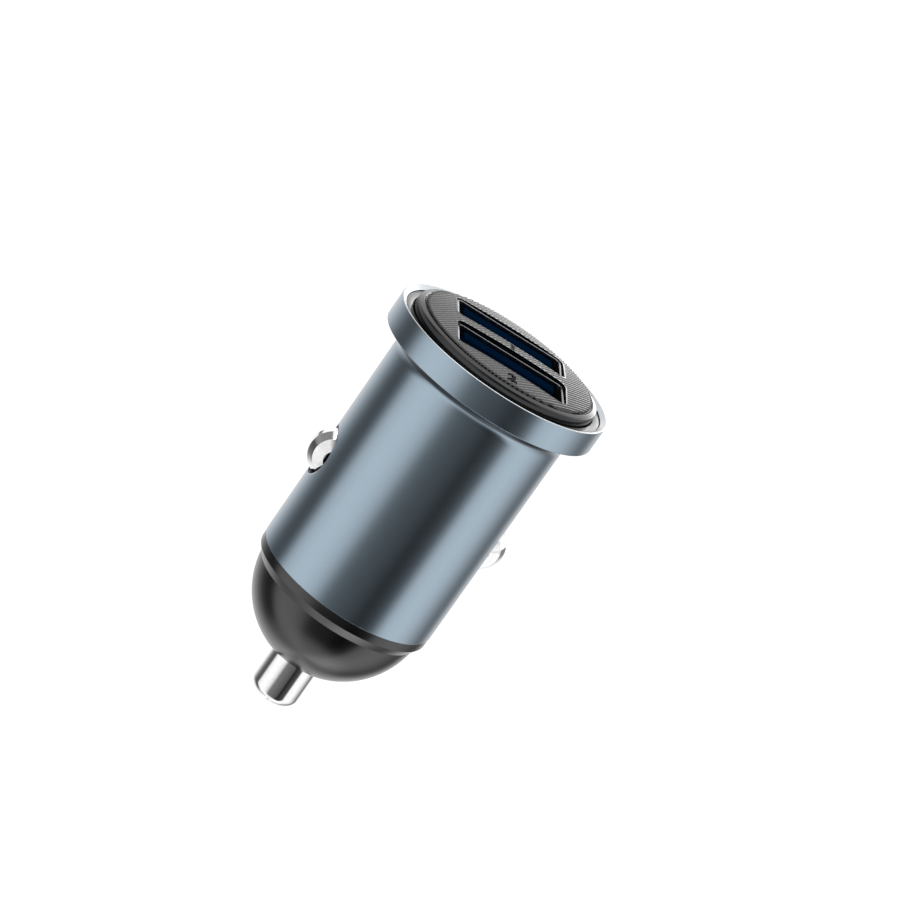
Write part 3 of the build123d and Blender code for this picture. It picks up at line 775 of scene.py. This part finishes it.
def makePort(number):
    # the shell is a tube of rounded rectangles whose mouth is two quarter circles, out to in; the block and
    # the tongue in it are rounded blocks
    side = 1 if number == 1 else -1
    centre = (0, side * portY)
    halfX, halfY = shellHigh[0], (shellHigh[1] - shellLow[1]) / 2
    low, top, wall, rounding = shellLow[2], shellHigh[2], port["wall"], port["mouthRound"]
    turn = np.linspace(0, math.pi / 2, 5)
    inset = rounding * (1 - np.cos(turn))
    insets = np.concatenate([[0], inset, wall - inset[::-1], [wall]])
    rise = top - rounding * (1 - np.sin(turn))
    heights = np.concatenate([[low], rise, rise[::-1], [low]])
    levels = [(halfX - i, halfY - i, port["corner"] - i, z) for i, z in zip(insets, heights)]
    shell = patch(lofted(levels, centre, 10), closeRows=True, closeColumns=True)
    makePiece(f"portShell{number}", [shell], "port_steel", "housing", [f"port_shell_{number}"], sharp=50)
    inset = wall + port["blockGap"]
    back = roundedBlock((-halfX + inset, centre[1] - halfY + inset, low),
                        (halfX - inset, centre[1] + halfY - inset, low + port["blockDepth"]),
                        port["blockRound"])
    far = centre[1] + halfY - wall - port["tongueOffset"]
    tongue = roundedBlock((-port["tongueHalf"], far - port["tongueThickness"], low),
                          (port["tongueHalf"], far, top - port["tongueRecess"]), port["tongueRound"])
    makePiece(f"portTongue{number}", [back, tongue], "port_insulator", "housing", [f"port_tongue_{number}"])


# Nose and tip pin

nose = {
    "skirt": 9.697, "skirtBore": 8.697, "collar": 10.347, "collarHeight": 1.0, "stepHeight": 1.05,
    "dome": 9.697, "domeCentreDrop": 1.1, "domeWall": 1.5, "pinHole": 2.81, "mouth": 0.5,
    "guide": 3.0, "chamber": 3.76, "chamberWall": 1.0, "chamberHeight": 4.9, "shelf": 0.9,
    "seat": 8.297, "hole": 2.9, "holeBevel": 0.05,
}


def makeNose():
    # outlines of radius and height carried round the axis, the dome an arc inside and outside, with a band
    # for the two holes between them
    bottom, end, top = barrelLow[2], noseLow[2], noseHigh[2]
    skirt, bore, dome = nose["skirt"], nose["skirtBore"], nose["dome"]
    low, high = contactZ - around["holeBand"], contactZ + around["holeBand"]
    centre = bottom - nose["domeCentreDrop"]
    collarEnd = bottom - nose["collarHeight"]
    stepEnd = collarEnd - nose["stepHeight"]
    stepRadius = math.sqrt(dome ** 2 - (centre - stepEnd) ** 2)
    flat = math.sqrt(dome ** 2 - (centre - end) ** 2)
    startAngle = -math.degrees(math.asin((centre - stepEnd) / dome))
    endAngle = -math.degrees(math.acos(flat / dome))
    guideTop = end + nose["guide"]
    inner = dome - nose["domeWall"]
    chamber, wall = nose["chamber"], nose["chamber"] + nose["chamberWall"]
    chamberTop = guideTop + nose["chamberHeight"]
    innerEnd = -math.degrees(math.acos(wall / inner))
    collarPath = softPath([
        (skirt, low, 0), (skirt, bottom, 0), (nose["collar"], bottom, 0.04),
        (nose["collar"], collarEnd, 0.05), (stepRadius, stepEnd, 0),
    ], 4)
    domePath = arcPoints((0, centre), dome, startAngle, endAngle, 48)
    mouthPath = softPath([
        tuple(domePath[-1]) + (0,), (nose["pinHole"] + nose["mouth"], end, 0.12),
        (nose["pinHole"], end + nose["mouth"], 0.1), (nose["pinHole"], guideTop, 0.05),
        (chamber, guideTop, 0), (chamber, chamberTop, 0.1), (wall, chamberTop, 0.1),
        (wall, centre - math.sqrt(inner ** 2 - wall ** 2), 0),
    ], 4)
    insidePath = arcPoints((0, centre), inner, innerEnd, 0, 24)
    shelf = bottom + nose["shelf"]
    risePath = np.array([(inner, centre), (inner, shelf), (bore, shelf), (bore, low)])
    lower = np.concatenate([collarPath, domePath[1:], mouthPath[1:], insidePath[1:], risePath[1:]])
    upper = softPath([(bore, high, 0), (bore, top, 0.08), (skirt, top, 0.08), (skirt, high, 0)], 3)
    patches = [patch(turned(lower, aroundAngles), closeColumns=True),
               patch(turned(upper, aroundAngles), closeColumns=True)]
    patches += holedBand(skirt, bore, nose["hole"], nose["holeBevel"], nose["seat"])
    return makePiece("noseMoulding", patches, "nose_plastic", "housing", ["nose_cone"], sharp=20)


pin = {"radius": 2.75, "rise": 1.7, "sheet": 0.6, "head": 3.6, "headThickness": 1.0}


def makePin():
    # the end is a half ellipse: the radius times the cosine, the rise times the sine
    end, top = pinLow[2], pinHigh[2]
    radius, sheet = pin["radius"], pin["sheet"]
    guide = top - pin["headThickness"]
    rounded = arcPoints((0, 0), 1.0, -90, 0, 36) * np.array([radius, pin["rise"]])
    rounded += np.array([0, end + pin["rise"]])
    seat = end + pin["rise"] + sheet
    rest = softPath([
        (radius, guide, 0), (pin["head"], guide, 0.08), (pin["head"], top, 0.15),
        (radius - sheet, top, 0.12), (radius - sheet, seat, 0.3), (0, seat, 0),
    ], 4)
    path = np.concatenate([rounded, rest])
    return makePiece("tipPin", [patch(turned(path, aroundAngles[::2]), closeColumns=True)],
                     "pin_plating", "tip", ["tip_pin"], sharp=50)


# Side contacts

sideContact = {
    "sheet": 0.4, "seat": 8.297, "mouthLap": 0.2, "footThickness": 0.5, "footHalfY": 2.2, "footHalfZ": 3.5,
    "footCorner": 0.4,
    "outline": ((2.1, 1.1, 0.12), (1.5, 2.25, 0.12), (0.5, 2.8, 0.12)),   # half width, radius, rounding
    "hole": (1.9, 1.35, 0.3),   # half height, half width, corner
}


def lugRows(outline, mouth, centre):
    # an outline of (y, radius) points, each carried straight from the mouth and half round the crown's
    # centre: x is the centre plus the radius times the cosine, z the radius times the sine
    turn = np.linspace(-math.pi / 2, math.pi / 2, 65)
    rows = []
    for y, radius in outline:
        x = np.concatenate([[mouth], centre + radius * np.cos(turn), [mouth]])
        z = np.concatenate([[-radius], radius * np.sin(turn), [radius]])
        rows.append(np.column_stack([x, np.full(len(x), y), z]))
    return np.stack(rows)


def makeSideContact(name, side):
    # an outer lug and an inner one, drawn in by the sheet along lines to the centre and joined to it at the
    # mouth, on a flat foot with a hole; the left one has x the other way
    crown, sheet, seat = contactHigh[0], sideContact["sheet"], sideContact["seat"]
    outline = sideContact["outline"]
    centre, mouth = crown - outline[-1][1], seat - sideContact["mouthLap"]
    grids = []
    for inset in (0, sheet):
        corners = [(y * (1 - inset / math.hypot(y, r)), r * (1 - inset / math.hypot(y, r)), soft)
                   for y, r, soft in outline]
        path = [(-corners[0][0], 0, 0)] + [(-y, r, soft) for y, r, soft in corners]
        path += corners[::-1] + [(corners[0][0], 0, 0)]
        grids.append(lugRows(softPath(path, 6), mouth, centre))
    outer, inner = grids
    grids += [np.stack([outer[:, 0], inner[:, 0]]), np.stack([outer[:, -1], inner[:, -1]])]
    hole, footLow = sideContact["hole"], seat - sideContact["footThickness"]
    edge = (sideContact["footHalfZ"], sideContact["footHalfY"], sideContact["footCorner"])
    levels = [(*edge, footLow), (*edge, seat), (*hole, seat), (*hole, footLow)]
    foot = lofted(levels, (0, 0), 6)[..., [2, 1, 0]]
    raised, mirrored = np.array([0, 0, contactZ]), np.array([side, 1, 1])
    patches = [patch((grid + raised) * mirrored) for grid in grids]
    patches.append(patch((foot + raised) * mirrored, closeRows=True, closeColumns=True))
    end = "right" if side > 0 else "left"
    return makePiece(name, patches, "contact_plating", f"contact_{end}", [f"side_contact_{end}"], sharp=50)


# Springs

springs = {
    "tipWire": 0.22, "tipTurns": 6, "tipTravel": 4.0,
    "sideWire": 0.17, "sideTurns": 4, "sideTravel": 1.4,
    "turnSteps": 40, "wirePoints": 14,
}


def coilPoints(radius, wire, low, high, turns, axis):
    # a helix whose wire is a circle square to it, its ends closed on their middles
    steps = turns * springs["turnSteps"]
    turn = np.linspace(0, 2 * math.pi * turns, steps + 1)
    along = np.linspace(low + wire, high - wire, steps + 1)
    middle = np.stack([radius * np.cos(turn), radius * np.sin(turn), along], -1)
    rise = (high - low - 2 * wire) / (2 * math.pi * turns)
    slope = math.atan2(rise, radius)
    outward = np.stack([np.cos(turn), np.sin(turn), np.zeros_like(turn)], -1)
    upward = np.stack([np.sin(turn) * math.sin(slope), -np.cos(turn) * math.sin(slope),
                       np.full_like(turn, math.cos(slope))], -1)
    count = springs["wirePoints"]
    ring = np.linspace(0, 2 * math.pi, count, endpoint=False)[None, :, None]
    tube = middle[:, None] + wire * (np.cos(ring) * outward[:, None] + np.sin(ring) * upward[:, None])
    ends = [np.repeat(middle[index][None, None], count, 1) for index in (0, -1)]
    points = np.concatenate([ends[0], tube, ends[1]])
    return points if axis == "z" else points[..., [2, 1, 0]]


def makeSprings():
    # each spring is a coil of wire between the ends of its frame node, the side spring made for both sides
    wire = springs["tipWire"]
    low, high = tipSpringLow[2], tipSpringHigh[2]
    points = coilPoints(tipSpringHigh[0] - wire, wire, low, high, springs["tipTurns"], "z")
    tip = makePiece("tipSpring", [patch(points, closeColumns=True)], "spring_steel", "housing",
                    ["tip_spring"])
    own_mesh(tip)
    wire = springs["sideWire"]
    low, high = sideSpringLow[0], sideSpringHigh[0]
    radius = (sideSpringHigh[1] - sideSpringLow[1]) / 2 - wire
    coil = coilPoints(radius, wire, low, high, springs["sideTurns"], "x") + np.array([0, 0, contactZ])
    for side, end in ((1, "right"), (-1, "left")):
        points = coil * np.array([side, 1, 1])
        spring = makePiece("sideSpring" + end.title(), [patch(points, closeColumns=True)], "spring_steel",
                           "housing", [f"contact_spring_{end}"])
        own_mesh(spring)


makeBarrel()
makeLightRing()
makeFacePlate()
for numeralText, numeralPlace in numeral["places"].items():
    makeNumeral(numeralText, numeralPlace)
for portNumber in (1, 2):
    makePort(portNumber)
makeNose()
makePin()
makeSideContact("sideContactRight", 1)
makeSideContact("sideContactLeft", -1)
makeSprings()
print("pieces ready")


# What stays from the frame keeps its shape and gets its finish

slotOf = {row["node"]: row["material_slot"] for row in frame["record"]["subparts"]}


def dressFrameNodes():
    for name, item in frame["nodes"].items():
        item.data.materials.clear()
        item.data.materials.append(finishes[slotOf[name]])


dressFrameNodes()
print("frame nodes dressed")


# Floor and light

# brightness round the plug by azimuth from the camera, in degrees, to the right of the picture: the bands
# of a light tent, from the table upwards, and the sines of the heights between which each takes over
studio = {
    "floorDrop": 150.0,       # mm below the tip, so that no shadow reaches the plug
    "floorRings": (1.0, 300.0, 1000.0, 2000.0, 6000.0),
    "diffuse": 1.08,          # what lights matt surfaces
    "bands": [
        {"name": "table", "from": None, "stops": [
            (-180, 0.5), (-163, 1.5), (-150, 1.1), (-125, 0.65), (-94, 0.6), (-70, 0.95), (-38, 1.2),
            (0, 0.95), (47, 0.95), (70, 1.6), (94, 1.9), (117, 1.2), (138, 0.55), (153, 0.65),
            (167, 1.3), (180, 0.5)]},
        {"name": "ring", "from": (-0.96, -0.78), "stops": [
            (-180, 1.05), (-150, 1.0), (-138, 0.8), (-126, 0.46), (-114, 0.2), (-100, 0.09), (-88, 0.13),
            (-78, 0.95), (-60, 1.15), (-40, 1.1), (-26, 0.85), (-13, 0.2), (26, 0.1), (33, 0.02), (44, 0.045),
            (58, 0.09), (66, 1.05), (88, 1.15), (104, 0.95), (118, 0.55), (131, 0.22), (142, 0.26),
            (154, 0.85), (180, 1.05)]},
        {"name": "horizon gap", "from": (-0.14, -0.06), "stops": [
            (-180, 0.25), (-84, 0.25), (-70, 0.9), (-8, 0.9), (2, 0.25), (38, 0.25), (58, 0.9), (96, 0.9),
            (112, 0.25), (180, 0.25)]},
        {"name": "back wall", "from": (0.0, 0.07), "stops": [
            (-180, 3.0), (-176, 1.5), (-168, 1.3), (-120, 0.9), (-112, 0.3), (-84, 0.3), (-70, 0.9),
            (-8, 0.9), (2, 0.12), (38, 0.12), (58, 0.9), (92, 1.2), (120, 1.9), (160, 4.0), (176, 4.6),
            (180, 3.0)]},
        {"name": "upper wall", "from": (0.16, 0.4), "stops": [
            (-180, 0.9), (-140, 1.1), (-114, 0.25), (-84, 0.25), (-70, 0.9), (-20, 0.9), (-4, 0.15),
            (40, 0.15), (70, 0.9), (120, 1.1), (160, 1.3), (180, 0.9)]},
        {"name": "panel overhead", "from": (0.76, 0.88), "stops": [(-180, 2.2), (180, 2.2)]},
    ],
}


def makeFloor():
    # a flat disc: rings of points out to the last of the floor's radii, in mm
    turn = np.linspace(0, 2 * math.pi, 96, endpoint=False)
    radius = np.array(studio["floorRings"])[:, None] * mm
    height = cadLow.z - studio["floorDrop"] * mm
    points = np.stack([radius * np.cos(turn), radius * np.sin(turn),
                       np.full((len(radius), len(turn)), height)], -1).reshape(-1, 3)
    mesh = bpy.data.meshes.new("floor")
    faces = gridFaces(len(radius), len(turn), False, True)[:, ::-1]
    mesh.from_pydata(points.tolist(), [], faces.tolist())
    material, tree, place, shader = newMaterial("studio paper, matt white", {"Specular IOR Level": 0.1})
    addGrain(tree, place, shader, 4.0, ("#f4f4f4", "#f6f6f6"), (0.9, 0.95), 0.01)
    mesh.materials.append(material)
    item = bpy.data.objects.new("floor", mesh)
    bpy.context.scene.collection.objects.link(item)
    item.visible_glossy = False


def makeWorld():
    # white to the eye, and for reflections the bands of the light tent
    world = bpy.data.worlds.new("light tent")
    bpy.context.scene.world = world
    world.use_nodes = True
    tree = world.node_tree
    tree.nodes.clear()
    direction = addNode(tree, "ShaderNodeTexCoord").outputs["Generated"]
    facing = math.radians(90 - camera["azimuth"])
    turnedView = addNode(tree, "ShaderNodeMapping", {"Rotation": (0, 0, facing)}, {"Vector": direction},
                         vector_type="POINT")
    split = addNode(tree, "ShaderNodeSeparateXYZ", links={"Vector": turnedView.outputs["Vector"]})
    angle = addNode(tree, "ShaderNodeMath", links={0: split.outputs["Y"], 1: split.outputs["X"]},
                    operation="ARCTAN2")
    share = addNode(tree, "ShaderNodeMapRange", {"From Min": -math.pi, "From Max": math.pi},
                    {"Value": angle.outputs[0]})
    light = None
    for band in studio["bands"]:
        top = max(value for degrees, value in band["stops"])
        ramp = addNode(tree, "ShaderNodeValToRGB", links={"Fac": share.outputs["Result"]},
                       stops=[(degrees / 360 + 0.5, value / top) for degrees, value in band["stops"]],
                       label=band["name"])
        bright = addNode(tree, "ShaderNodeMath", {1: top}, {0: ramp.outputs["Color"]}, operation="MULTIPLY")
        if light is None:
            light = bright.outputs[0]
            continue
        low, high = band["from"]
        rise = addNode(tree, "ShaderNodeMapRange", {"From Min": low, "From Max": high},
                       {"Value": split.outputs["Z"]}, interpolation_type="SMOOTHSTEP")
        light = addNode(tree, "ShaderNodeMix", links={"A": light, "B": bright.outputs[0],
                                                      "Factor": rise.outputs["Result"]}).outputs["Result"]
    path = addNode(tree, "ShaderNodeLightPath")
    for kind, value in (("Is Diffuse Ray", studio["diffuse"]), ("Is Camera Ray", 1.0)):
        light = addNode(tree, "ShaderNodeMix", {"B": value}, {"A": light, "Factor": path.outputs[kind]}
                        ).outputs["Result"]
    background = addNode(tree, "ShaderNodeBackground", {"Color": (1, 1, 1, 1)}, {"Strength": light})
    addNode(tree, "ShaderNodeOutputWorld", links={"Surface": background.outputs["Background"]})


makeFloor()
makeWorld()
bpy.context.scene.view_settings.view_transform = "Standard"
print("studio ready")
